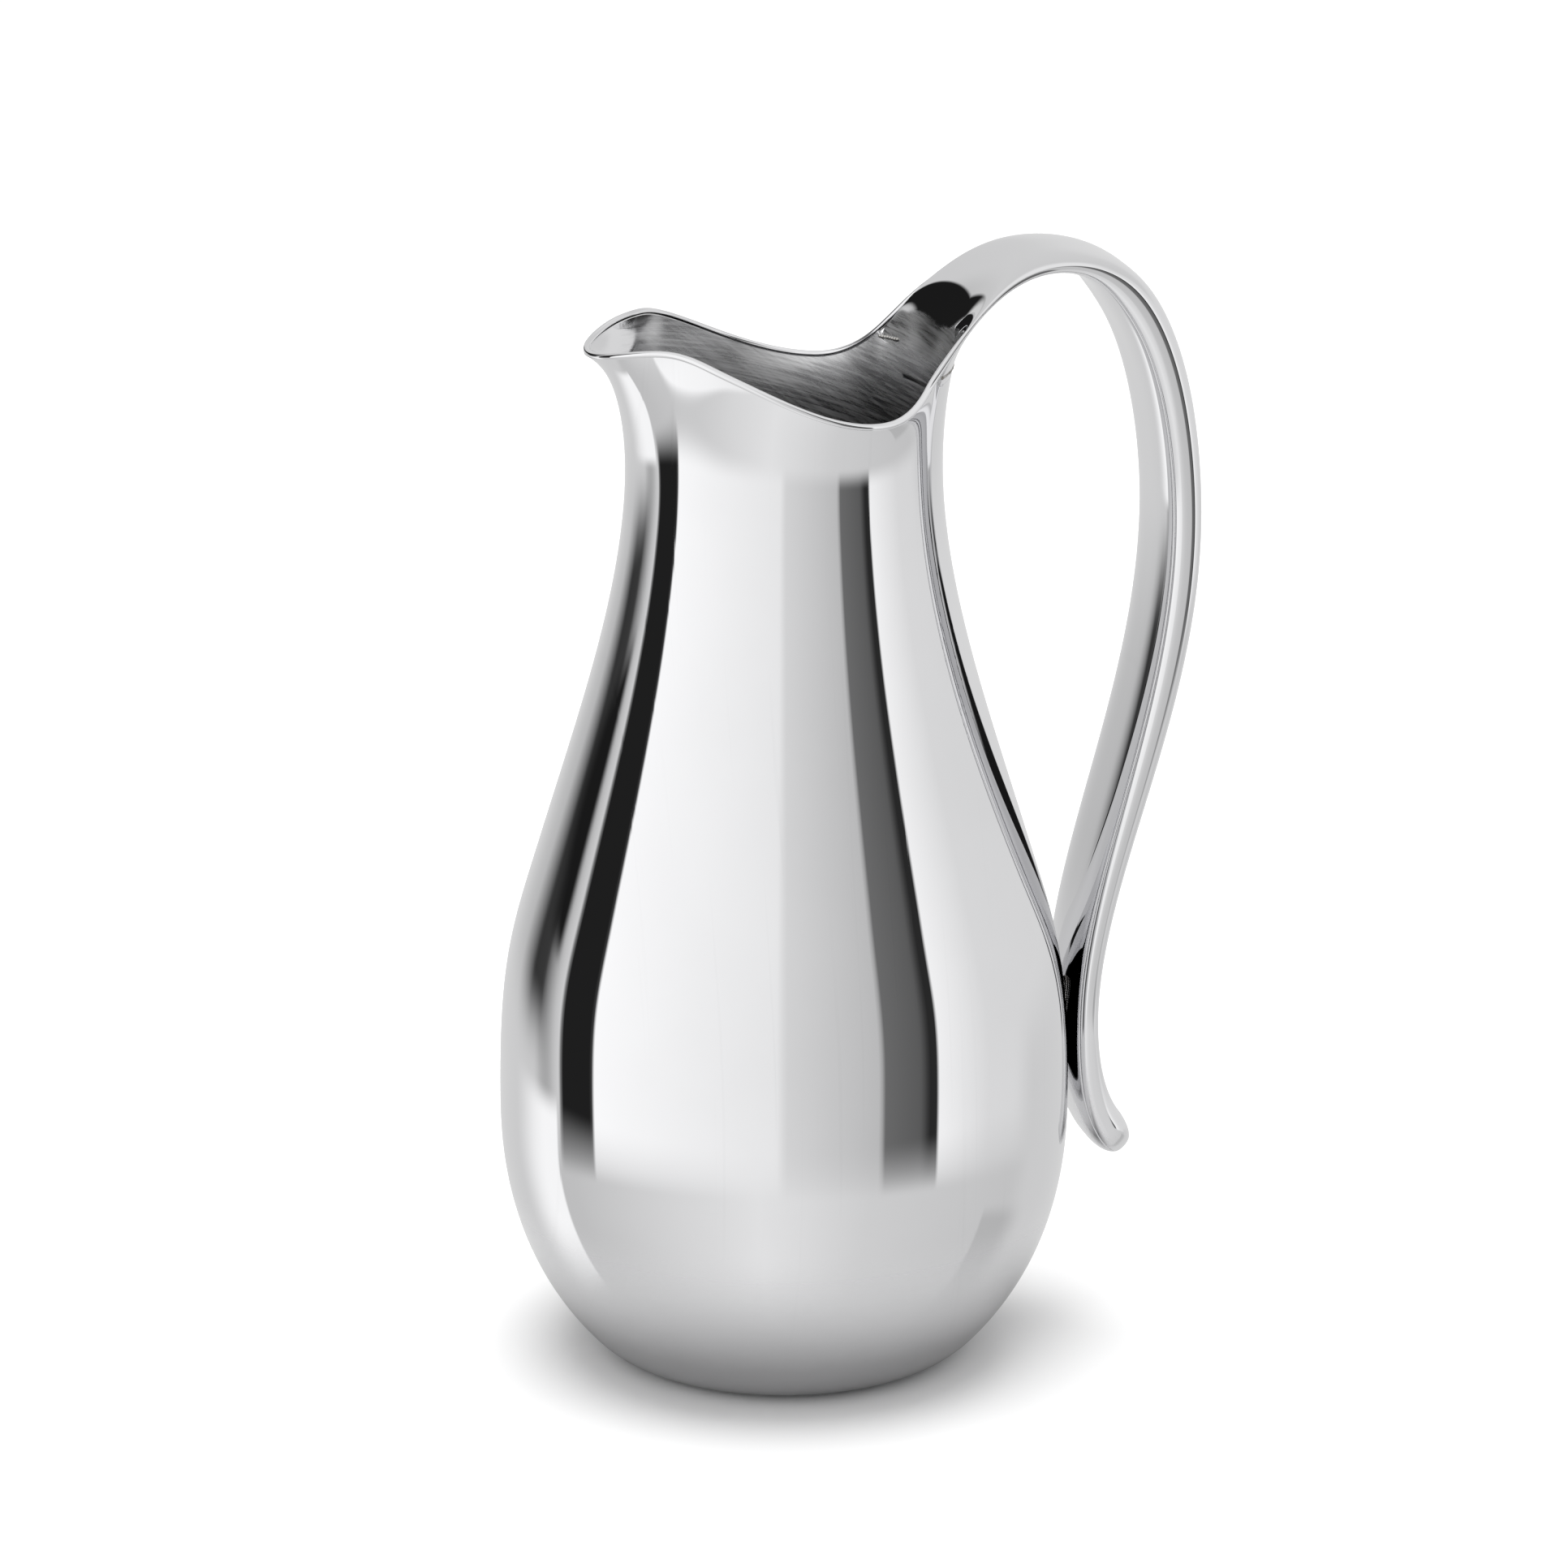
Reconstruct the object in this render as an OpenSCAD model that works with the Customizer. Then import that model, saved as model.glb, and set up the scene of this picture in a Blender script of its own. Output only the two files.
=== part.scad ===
// Water pitcher in polished sheet metal: a pear-shaped body with a flared mouth and a pouring
// lip, and a hollow handle that springs from the back of the rim, arches over and curls away
// from the belly below the point where it is brazed on.
// Millimetres. +Z is up, -X is the pouring side, +X the handle side. The origin is the centre
// of the flat underside.

/* [Body] */
// Radius of the flat the pitcher stands on
base_r = 33; // [30:1:35]
// Radius of the body at its widest
belly_r = 61.1; // [58:0.1:64]
// Height of the widest point
belly_z = 55; // [50:1:60]
// Radius of the neck at its narrowest
neck_r = 33.3; // [31:0.1:35]
// Height of the narrowest point of the neck
neck_z = 197; // [194:1:199]
// Thickness of the body's sheet metal
wall = 1.2; // [0.9:0.1:1.5]

/* [Mouth] */
// Radius of the mouth's round part, to the outside of the wall
mouth_r = 35; // [34:0.5:36]
// How far the pouring lip reaches past the mouth's circle
lip_reach = 7.4; // [5:0.2:9]
// Angle from the lip's tip to the foot of its flank
lip_angle = 36; // [30:1:42]
// Height of the lip's tip
tip_z = 222.2; // [220:0.2:225]
// Height of the rim's two shoulders beside the lip
shoulder_z = 225.2; // [223:0.2:228]
// Height of the rim at its lowest
dip_z = 210.9; // [208:0.1:213]
// Height of the rim where the handle leaves it
root_z = 218; // [216:0.5:220]
// Diameter of the round wire along the rim
wire_d = 1.5; // [1.4:0.1:1.8]

/* [Handle] */
// Height of the arch's middle line at its top
arch_z = 238.4; // [236:0.1:241]
// Distance of the arch's top from the body's axis
arch_x = 56.5; // [55:0.5:60]
// Distance of the grip's middle line from the body's axis
grip_x = 84.8; // [82:0.2:88]
// Height of the grip's outermost point
grip_z = 180; // [175:1:185]
// Height at which the handle rests against the belly
seat_z = 71; // [68:1:74]
// Half the handle's width at the grip
grip_w = 13.4; // [12:0.2:15]
// Half the handle's thickness at the grip
grip_h = 4.6; // [4:0.1:5]
// Thickness of the handle's sheet metal
sheet = 0.8; // [0.7:0.1:0.9]

/* [Hidden] */

steel = [0.80, 0.80, 0.81];
satin = [0.62, 0.62, 0.63];
filler = [0.70, 0.69, 0.66];

base_hole_r = base_r - 4;   // opening in the body's underside that the disc closes
collar_z = 186;             // the body is a solid of revolution up to here
neck_curve = 0.0044;        // the neck's outline is r = neck_r + neck_curve * (z - neck_z)^2
pinch = 0.9;                // how far the rim is drawn in beside the lip
pinch_at = 40;              // angle of that waist from the lip's tip
shoulder_at = 32;           // angle of the rim's highest points
dip_at = 114;               // angle of the rim's lowest points
root_at = 140;              // angle at which the rim turns up into the handle

// ---- curves ----------------------------------------------------------------------------

function bezier(p, t) = pow(1 - t, 3) * p[0] + 3 * t * pow(1 - t, 2) * p[1]
                      + 3 * t * t * (1 - t) * p[2] + pow(t, 3) * p[3];

function sampled(p, n, from = 0) = [for (i = [from:n]) bezier(p, i / n)];

// Smooth step from 0 to 1 as x runs from a to b
function ease(x, a, b) = let (t = min(1, max(0, (x - a) / (b - a)))) (1 - cos(180 * t)) / 2;

// Radius of the neck's outside at height z
function neck(z) = neck_r + neck_curve * pow(z - neck_z, 2);

// ---- body ------------------------------------------------------------------------------

// Outline of the body's outside from the underside to the collar, as [radius, height]
join_r = neck(collar_z);
join_slope = 2 * neck_curve * (collar_z - neck_z);
body_outline = concat(
    sampled([[base_r, 0], [base_r + 5.5, 0], [base_r + 8.5, 3], [base_r + 12.6, 8]], 6),
    sampled([[base_r + 12.6, 8], [base_r + 21, 18.2], [belly_r, belly_z - 22],
             [belly_r, belly_z]], 12, 1),
    sampled([[belly_r, belly_z], [belly_r, belly_z + 30], [58.8, 92], [53.2, 110]], 10, 1),
    sampled([[53.2, 110], [44.7, 138], [join_r - 24 * join_slope, collar_z - 24],
             [join_r, collar_z]], 12, 1));

// The same outline moved inwards by d along its normals
function normal_at(o, i) =
    let (a = o[max(0, i - 1)], b = o[min(len(o) - 1, i + 1)], t = (b - a) / norm(b - a))
    [-t[1], t[0]];
function inset(o, d) = [for (i = [0:len(o) - 1]) o[i] + d * normal_at(o, i)];

inner_outline = [for (q = inset(body_outline, wall)) [q[0], max(wall, q[1])]];

module body_wall() {
    rotate_extrude($fn = 96)
        polygon(concat([[base_hole_r, 0]], body_outline,
                       [for (i = [len(inner_outline) - 1:-1:1])
                            [inner_outline[i][0], min(collar_z, inner_outline[i][1])]],
                       [[base_hole_r, wall]]));
}

// ---- mouth -----------------------------------------------------------------------------

// Angles are measured from the lip's tip, so 0 is -X and 180 is +X
function off_tip(a) = abs(a > 180 ? a - 360 : a);

function bump(x, middle, half) = abs(x - middle) < half ? pow(cos(90 * (x - middle) / half), 2) : 0;

// Radius and height of the rim's outside at angle a
function rim_r(a) = mouth_r + lip_reach * bump(off_tip(a), 0, lip_angle)
                  - pinch * bump(off_tip(a), pinch_at, 18);
function rim_z(a) = let (f = off_tip(a))
    f < shoulder_at ? tip_z + (shoulder_z - tip_z) * ease(f, 0, shoulder_at)
  : f < dip_at ? shoulder_z + (dip_z - shoulder_z) * ease(f, shoulder_at, dip_at)
  : dip_z + (root_z - dip_z) * pow(min(1, (f - dip_at) / (root_at - dip_at)), 2);

// How the wall leaves the neck's own curve towards the rim: gently, then with a rolled-out lip
function roll(u) = 0.5 * pow(u, 3) + 0.5 * pow(u, 12);

// Point on the collar's outside at angle a, at share u of the way from collar_z to the rim
function collar_r(a, z, u) = neck(z) + (rim_r(a) - neck(rim_z(a))) * roll(u);
function on_circle(a, r, z) = [-r * cos(a), r * sin(a), z];
function collar_point(a, u, depth) =
    let (z = collar_z + (rim_z(a) - collar_z) * u)
    on_circle(a, collar_r(a, z, u) - depth, z);

collar_steps = [for (i = [0:9]) 1 - pow(1 - i / 9, 1.6)];   // closer together near the rim
collar_n = 72;

// A closed skin from rings of points: every ring has n points, and the last joins the first
function ring_faces(rings, n) = [for (i = [0:rings - 1], j = [0:n - 1])
    let (k = (i + 1) % rings, m = (j + 1) % n)
    each [[i * n + j, k * n + m, k * n + j], [i * n + j, i * n + m, k * n + m]]];

// The collar's wall: rings run up the outside and back down the inside. Its lowest ring is
// let into the top of the body's wall, so the two are one piece of metal.
module collar() {
    tuck = 0.15;
    up = [for (u = collar_steps) [for (j = [0:collar_n - 1])
        collar_point(360 * j / collar_n, u, u == 0 ? 0.05 : 0)]];
    down = [for (i = [len(collar_steps) - 1:-1:0]) [for (j = [0:collar_n - 1])
        collar_point(360 * j / collar_n, collar_steps[i], i == 0 ? wall - 0.05 : wall)]];
    foot_in = [for (j = [0:collar_n - 1])
        on_circle(360 * j / collar_n, neck(collar_z - 1) - wall + tuck, collar_z - 1)];
    foot_out = [for (j = [0:collar_n - 1])
        on_circle(360 * j / collar_n, neck(collar_z - 1) - tuck, collar_z - 1)];
    rings = concat([foot_out], up, down, [foot_in]);
    polyhedron([for (r = rings) each r], ring_faces(len(rings), collar_n), convexity = 6);
}

module body_shell() {
    color(steel) union() {
        body_wall();
        collar();
    }
}

// Flat disc that closes the body's underside
module base_disc() {
    color(satin) cylinder(r = base_hole_r, h = wall, $fn = 96);
}

// ---- swept pieces ----------------------------------------------------------------------

// Solid through a list of closed sections that all have the same number of points
module loft(sections) {
    n = len(sections[0]);
    last = len(sections) - 1;
    sides = [for (i = [0:last - 1], j = [0:n - 1])
        let (m = (j + 1) % n)
        each [[i * n + j, i * n + m, (i + 1) * n + m], [i * n + j, (i + 1) * n + m, (i + 1) * n + j]]];
    ends = [[for (j = [n - 1:-1:0]) j], [for (j = [0:n - 1]) last * n + j]];
    polyhedron([for (s = sections) each s], concat(sides, ends), convexity = 8);
}

// ---- handle ----------------------------------------------------------------------------

seat_h = 3.3;       // half the handle's thickness where it rests against the belly
seat_gap = 0.3;     // thickness of the braze there
belly_at_seat = lookup(seat_z, [for (q = body_outline) [q[1], q[0]]]);
seat_x = belly_at_seat + seat_gap + seat_h;
tip_x = seat_x + 11.6;
tail_z = seat_z - 32.6;
spring_x = mouth_r - wall / 2;    // middle of the wall that the handle grows out of

// The handle's middle line as [x, z]: up from the rim, over the arch, down the grip to the
// belly, and out along the tail. Parts of the chain meet at 0, 1, 2, 3 and 4.
chain = [
    [[spring_x, root_z], [spring_x + 2, root_z + 7.4], [arch_x - 14, arch_z], [arch_x, arch_z]],
    [[arch_x, arch_z], [arch_x + 25, arch_z], [grip_x, grip_z + 14.5], [grip_x, grip_z]],
    [[grip_x, grip_z], [grip_x, grip_z - 42], [seat_x, seat_z + 32], [seat_x, seat_z]],
    [[seat_x, seat_z], [seat_x, seat_z - 11], [tip_x - 9.6, tail_z + 6], [tip_x, tail_z]]];
chain_steps = [11, 13, 13, 8];
tip_steps = [3.91, 3.94, 3.965, 3.985, 4];      // closer together where the tail rounds off
stations = concat([for (c = [0:3], i = [0:chain_steps[c] - 1]) c + i / chain_steps[c]], tip_steps);

function middle(s) = let (c = min(3, floor(s))) bezier(chain[c], s - c);
function heading(s) = let (a = middle(max(0, s - 0.004)), b = middle(min(4, s + 0.004)))
    (b - a) / norm(b - a);

// Half width and half thickness at station s
function between(s, table) = let (c = min(len(table) - 2, floor(s)), t = ease(s - c, 0, 1))
    table[c] * (1 - t) + table[c + 1] * t;
arch_w = 14.7;
arch_h = 1.8;
root_w = spring_x * (180 - root_at) * PI / 180;     // the root fills the gap between the wire's ends
root_h = 0.95;
function half_w(s) = s < 1 ? arch_w + (root_w - arch_w) * pow(1 - s, 1.5)
                           : between(s - 1, [arch_w, grip_w, 13.8, 10.6]);
function half_h(s) = s < 1 ? root_h + (arch_h - root_h) * ease(s, 0, 1)
                   : s < 1.3 ? arch_h + (grip_h + 0.3 - arch_h) * ease(s, 1, 1.3)
                   : s < 2 ? grip_h + 0.3 * ease(s, 2, 1.3)
                   : between(s - 2, [grip_h, seat_h, 4.7]);
// The strap is bent to the mouth's circle where it starts, and flattens on the way up
function bend(s) = s < 1 ? max(0.0001, pow(1 - s, 1.3) / spring_x) : 0.0001;

// The tail ends in a half round: f is the share of the full section left at station s
tail_round = 8.5;
function to_tip(s) = norm(middle(4) - middle(s));
function round_off(s, skin) = s < 3.3 ? 1
    : let (d = min(1, max(0, (to_tip(s) - skin) / tail_round))) max(0.12, sqrt(1 - pow(1 - d, 2)));

// Point of the handle's section: angle b around a squared-off ellipse, skin = depth below it
square_off = 2 / 3;
function sign_pow(v) = sign(v) * pow(abs(v), square_off);
function section_point(s, b, skin) =
    let (f = round_off(s, skin),
         across = (half_w(s) - skin) * f * sign_pow(cos(b)),
         out = (half_h(s) - skin) * f * sign_pow(sin(b)),
         r = 1 / bend(s), turn = across / r * 180 / PI,
         y = (r - out) * sin(turn), n = r - (r - out) * cos(turn),
         m = middle(s), d = heading(s))
    [m[0] - n * d[1], -y, m[1] + n * d[0]];

// A strip of the handle's tube between two angles, as one closed section per station
seam = 28;   // the seam lies this many degrees below the section's widest line
function strip(s, from, to, n) = concat(
    [for (i = [0:n]) section_point(s, from + (to - from) * i / n, 0)],
    [for (i = [n:-1:0]) section_point(s, from + (to - from) * i / n, sheet)]);

module handle_outer_shell() {
    color(steel) loft([for (s = stations) strip(s, -seam, 180 + seam, 14)]);
}

module handle_inner_shell() {
    color(steel) loft([for (s = stations) strip(s, 180 + seam, 360 - seam, 10)]);
}

// ---- rim wire --------------------------------------------------------------------------

// Round wire soldered along the rim. At the back its ends run up the edges of the handle's
// root, and are filed thinner on the way.
wire_n = 90;
wire_sides = 10;
wire_end = root_at - 0.5;
wire_sink = 0.3;    // how deep the wire's middle sits below the sheet's edge
end_steps = [0.07, 0.12, 0.17, 0.22, 0.27, 0.32];
end_size = 0.45;    // share of the wire's thickness left at its very end

function rim_path() = [for (i = [0:wire_n]) let (a = -wire_end + 2 * wire_end * i / wire_n)
    on_circle(a, rim_r(a) - wall / 2, rim_z(a) + wire_d / 2 - wire_sink)];
function edge_path(b) = [for (s = end_steps) section_point(s, b, 0.25)];
function backwards(list) = [for (i = [len(list) - 1:-1:0]) list[i]];

module rim_wire() {
    path = concat(backwards(edge_path(0)), rim_path(), edge_path(180));
    taper = [for (i = [1:len(end_steps)]) 1 - (1 - end_size) * i / len(end_steps)];
    size = concat(backwards(taper), [for (i = [0:wire_n]) 1], taper);
    last = len(path) - 1;
    color(steel) loft([for (i = [0:last])
        let (q = path[min(last, i + 1)] - path[max(0, i - 1)], along = q / norm(q),
             side = let (c = cross(along, [0, 0, 1])) c / norm(c), lift = cross(side, along))
        [for (k = [0:wire_sides - 1]) let (b = 360 * k / wire_sides)
            path[i] + size[i] * wire_d / 2 * (cos(b) * side + sin(b) * lift)]]);
}

// ---- joining metal ---------------------------------------------------------------------

// Fillet of weld across the back of the mouth, where the handle stands on the rim
weld_r = 0.4;
module root_weld() {
    spread = 176 - root_at;
    color(filler) rotate([0, 0, -spread]) rotate_extrude(angle = 2 * spread, $fn = 96)
        translate([mouth_r + 0.15, root_z - 0.1]) circle(r = weld_r, $fn = 24);
}

// Short run of weld inside the mouth at one corner of the root: turn is where it starts
bead_r = 0.75;
bead_arc = 9;
module corner_weld(turn) {
    color(filler) rotate([0, 0, turn]) rotate_extrude(angle = bead_arc, $fn = 96)
        translate([mouth_r - wall - 0.15, root_z - 1]) circle(r = bead_r, $fn = 24);
}
corner_at = 180 - root_at - 1;
module corner_weld_near() { corner_weld(-corner_at); }
module corner_weld_far() { corner_weld(corner_at - bead_arc); }

// Braze between the handle and the belly: a pad with round ends, bedded in both
braze_w = 7;
braze_l = 14;
braze_bed = 0.3;
module belly_braze() {
    depth = seat_gap + 2 * braze_bed;
    end_at = (braze_l - braze_w) / 2;
    color(filler) translate([belly_at_seat - braze_bed, 0, seat_z]) rotate([0, 90, 0]) union() {
        for (side = [-1, 1])
            translate([side * end_at, 0, 0]) cylinder(d = braze_w, h = depth, $fn = 32);
        translate([-end_at, -braze_w / 2, 0]) cube([2 * end_at, braze_w, depth]);
    }
}

body_shell();
base_disc();
rim_wire();
handle_outer_shell();
handle_inner_shell();
root_weld();
corner_weld_near();
corner_weld_far();
belly_braze();
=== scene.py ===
# %% [markdown]
# # A polished water pitcher
# The pitcher is a pear-shaped body drawn and spun from sheet metal, with a round wire soldered
# along its rim and a hollow handle that springs from the back of the mouth. The sizes come from
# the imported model, which is loaded first and never changed. Smooth, dense skins are made here
# over its facets, because a mirror shows every flat.

# %% Load the frame
import math
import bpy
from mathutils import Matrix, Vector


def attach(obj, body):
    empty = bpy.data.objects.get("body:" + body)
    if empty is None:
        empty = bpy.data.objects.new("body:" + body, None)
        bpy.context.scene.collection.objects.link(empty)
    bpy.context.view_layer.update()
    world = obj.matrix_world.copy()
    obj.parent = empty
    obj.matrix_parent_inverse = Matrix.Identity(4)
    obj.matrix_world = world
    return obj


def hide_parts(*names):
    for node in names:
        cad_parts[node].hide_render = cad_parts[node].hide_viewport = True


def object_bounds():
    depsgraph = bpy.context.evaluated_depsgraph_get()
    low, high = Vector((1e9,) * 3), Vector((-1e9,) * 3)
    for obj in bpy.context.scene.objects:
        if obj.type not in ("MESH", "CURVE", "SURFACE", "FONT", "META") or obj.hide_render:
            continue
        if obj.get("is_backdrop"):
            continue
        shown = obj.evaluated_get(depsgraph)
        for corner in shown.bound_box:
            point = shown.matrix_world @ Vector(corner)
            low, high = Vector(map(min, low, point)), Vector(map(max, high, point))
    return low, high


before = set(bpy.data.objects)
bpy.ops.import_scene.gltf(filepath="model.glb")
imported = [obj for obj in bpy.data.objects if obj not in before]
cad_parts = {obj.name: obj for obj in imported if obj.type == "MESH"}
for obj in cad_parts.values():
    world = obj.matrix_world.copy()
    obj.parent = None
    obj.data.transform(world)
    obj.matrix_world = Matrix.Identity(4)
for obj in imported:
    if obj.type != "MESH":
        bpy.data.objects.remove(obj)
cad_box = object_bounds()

from types import SimpleNamespace
import bpy
import numpy as np

# %% [markdown]
# ## One way to write sums
# Both node trees and plain numbers need the same formulas: the rim's height, for one, places the
# wall in a node tree and the handle's foot in Python. A small class wraps a socket and overloads
# the operators, so an expression such as `1 - mask` adds its own Math nodes. The functions below
# it take either kind, and so each rule of the shape is written only once.

# %% Sums on sockets and numbers
class Wired:
    """A socket that can be added, multiplied and compared like a number."""

    def __init__(self, tree, socket):
        self.tree, self.socket = tree, socket

    def math(self, operation, *others):
        return Bench(self.tree).add("ShaderNodeMath", {"operation": operation},
                                    dict(enumerate((self,) + others)))

    def __add__(self, other): return self.math("ADD", other)
    def __mul__(self, other): return self.math("MULTIPLY", other)
    def __sub__(self, other): return self.math("SUBTRACT", other)
    def __truediv__(self, other): return self.math("DIVIDE", other)
    def __pow__(self, other): return self.math("POWER", other)
    def __rsub__(self, other): return (self * -1) + other
    def __abs__(self): return self.math("ABSOLUTE")
    __radd__, __rmul__ = __add__, __mul__


class Bench:
    """Adds nodes to one tree. Settings are set first, then values or links of the sockets."""

    def __init__(self, tree):
        self.tree = tree

    def add(self, kind, settings=None, sockets=None, out=0):
        node = self.tree.nodes.new(kind)
        for key, value in (settings or {}).items():
            if key == "stops":
                ramp = node.color_ramp
                while len(ramp.elements) < len(value):
                    ramp.elements.new(1.0)
                for element, (place, colour) in zip(ramp.elements, value):
                    element.position = place
                    element.color = (*colour, 1) if isinstance(colour, tuple) else (colour,) * 3 + (1,)
            else:
                setattr(node, key, value)
        for key, value in (sockets or {}).items():
            socket = node.inputs[key]
            if isinstance(value, Wired):
                self.tree.links.new(value.socket, socket)
            else:
                socket.default_value = value
        return Wired(self.tree, node.outputs[out]) if len(node.outputs) else node

    def xyz(self, vector):
        split = self.add("ShaderNodeSeparateXYZ", {}, {0: vector}).socket.node
        return [Wired(self.tree, output) for output in split.outputs]


def cosine(degrees):
    if isinstance(degrees, Wired):
        return (degrees * math.radians(1)).math("COSINE")
    return np.cos(np.radians(degrees))


def clamp(x):
    return x.math("MAXIMUM", 0).math("MINIMUM", 1) if isinstance(x, Wired) else np.clip(x, 0, 1)


def ease(x, start, end):
    """Smooth step from 0 to 1 as x goes from start to end."""
    return (1 - cosine(180 * clamp((x - start) / (end - start)))) / 2


print("ease at a quarter:", round(float(ease(0.25, 0, 1)), 3))

# %% [markdown]
# ## The rules of the mouth
# Seen from above, the mouth is a circle drawn out into a lip at the front and pinched a little
# beside it. Seen from the side, its edge is highest at the lip's shoulders, dips low at the
# flanks and rises again into the handle. Both are rules in the angle from the lip's tip.

# %% Mouth rules
mm = 0.001
mouth = SimpleNamespace(radius=35 * mm, reach=7.4 * mm, flank=36, pinch=0.9 * mm, tip=222.2 * mm,
                        shoulder=225.2 * mm, dip=210.9 * mm, root=218 * mm, collar=186 * mm)
shoulder_at, dip_at, root_at = 32, 114, 140      # degrees from the lip's tip
pinch_at, pinch_half = 40, 18
wall = 1.2 * mm
neck_r, neck_z, neck_curve = 33.3 * mm, 197 * mm, 4.4


def neck(z):
    """Radius of the neck's outside at height z."""
    return neck_r + neck_curve * (z - neck_z) * (z - neck_z)


def bump(x, middle, half):
    half_turn = cosine(90 * clamp(abs(x - middle) / half))
    return half_turn * half_turn


def rim_radius(angle, m=mouth):
    return m.radius + m.reach * bump(angle, 0, m.flank) - m.pinch * bump(angle, pinch_at, pinch_half)


def rim_height(angle, m=mouth):
    back = clamp((angle - dip_at) / (root_at - dip_at))
    return (m.tip + (m.shoulder - m.tip) * ease(angle, 0, shoulder_at)
            + (m.dip - m.shoulder) * ease(angle, shoulder_at, dip_at) + (m.root - m.dip) * back * back)


for angle in (0, shoulder_at, dip_at, root_at):
    print(f"rim at {angle} deg: radius {rim_radius(angle) / mm:.1f}, height {rim_height(angle) / mm:.1f} mm")

# %% [markdown]
# ## The body's outline
# A spinner turns the body against a wooden former, so one outline rules it from the foot to the
# neck. It could be a subdivided cage, but a mirror would show where the cage's points lie.
# Instead four Bezier curves give the outline, it is sampled every millimetre, and a few passes
# of averaging take the last change of curvature out of their joins.

# %% Outline of the wall
def bezier(p, t):
    p, t = np.array(p, float), np.asarray(t, float)[:, None]
    return (1 - t) ** 3 * p[0] + 3 * t * (1 - t) ** 2 * p[1] + 3 * t * t * (1 - t) * p[2] + t ** 3 * p[3]


def spaced(points, step):
    """The same line with even steps."""
    run = np.r_[0, np.cumsum(np.linalg.norm(np.diff(points[:, :2], axis=0), axis=1))]
    at = np.linspace(0, run[-1], int(round(run[-1] / step)) + 1)
    return np.stack([np.interp(at, run, column) for column in points.T], axis=1)


def averaged(points, passes):
    points = points.copy()
    for _ in range(passes):
        points[1:-1] = (points[:-2] + 2 * points[1:-1] + points[2:]) / 4
    return points


base_r, belly_r, belly_z, collar = 33.0, 61.1, 55.0, 186.0
join_r = neck(mouth.collar) / mm
join_slope = 2 * neck_curve * mm * (collar - neck_z / mm)
t = np.linspace(0, 1, 200)
curves = [bezier(p, t) for p in (
    [[base_r, 0], [base_r + 5.5, 0], [base_r + 8.5, 3], [base_r + 12.6, 8]],
    [[base_r + 12.6, 8], [base_r + 21, 18.2], [belly_r, belly_z - 22], [belly_r, belly_z]],
    [[belly_r, belly_z], [belly_r, belly_z + 30], [58.8, 92], [53.2, 110]],
    [[53.2, 110], [44.7, 138], [join_r - 24 * join_slope, collar - 24], [join_r, collar]])]
raw = spaced(np.concatenate(curves) * mm, 1.05 * mm)
soft = averaged(raw, 14)
keep = ease(raw[:, 1], 160 * mm, 184 * mm)[:, None]
lower = soft * (1 - keep) + raw * keep

up = 1 - (1 - np.linspace(0, 1, 58)[1:]) ** 1.5
collar_z = mouth.collar + (mouth.root - mouth.collar) * up
outside = np.r_[lower, np.stack([neck(collar_z), collar_z], axis=1)]
along = np.gradient(outside, axis=0)
along /= np.linalg.norm(along, axis=1)[:, None]
normal = np.stack([-along[:, 1], along[:, 0]], axis=1)
inside = outside + wall * normal
inside[len(lower):] = np.stack([neck(collar_z) - wall, collar_z], axis=1)
inside[:, 1] = np.maximum(inside[:, 1], wall)
inside = inside[::-1][::2]
inside = inside[inside[:, 0] > 30 * mm]
hole_r = 29.0                                    # the opening that the base disc closes
foot = np.array([[hole_r, 0], [hole_r + 0.1, 0], [hole_r + 2, 0]]) * mm
sill = np.array([[hole_r + 0.1, 1.2], [hole_r, 1.2], [hole_r, 1.1], [hole_r, 0.1], [hole_r, 0]]) * mm
outline = np.r_[foot, outside, inside, sill]
inner_from = len(foot) + len(outside)
print("outline points:", len(outline), "greatest radius mm:", round(outside[:, 0].max() / mm, 2))

# %% [markdown]
# ## Turning the outline into the body
# The wall follows a rule all the way round, so Geometry Nodes makes it. A flat grid has one row
# for each point of the outline and one column for each step around. Every grid point looks up
# its row's radius and height, is turned to its column's angle, and above the collar is carried
# out and up to the rim's own radius and height. The mouth's sizes are inputs of the tree.

# %% Geometry Nodes helpers
def node_group(name, inputs):
    """A geometry tree with named inputs, as (tree, bench, {name: Wired})."""
    tree = bpy.data.node_groups.new(name, "GeometryNodeTree")
    tree.interface.new_socket("Geometry", in_out="INPUT", socket_type="NodeSocketGeometry")
    for label, kind in inputs.items():
        tree.interface.new_socket(label, in_out="INPUT", socket_type="NodeSocket" + kind)
    tree.interface.new_socket("Geometry", in_out="OUTPUT", socket_type="NodeSocketGeometry")
    start = tree.nodes.new("NodeGroupInput")
    return tree, Bench(tree), {o.name: Wired(tree, o) for o in start.outputs if o.name}


def close_group(tree, result):
    end = tree.nodes.new("NodeGroupOutput")
    tree.links.new(result.socket, end.inputs[0])


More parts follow.
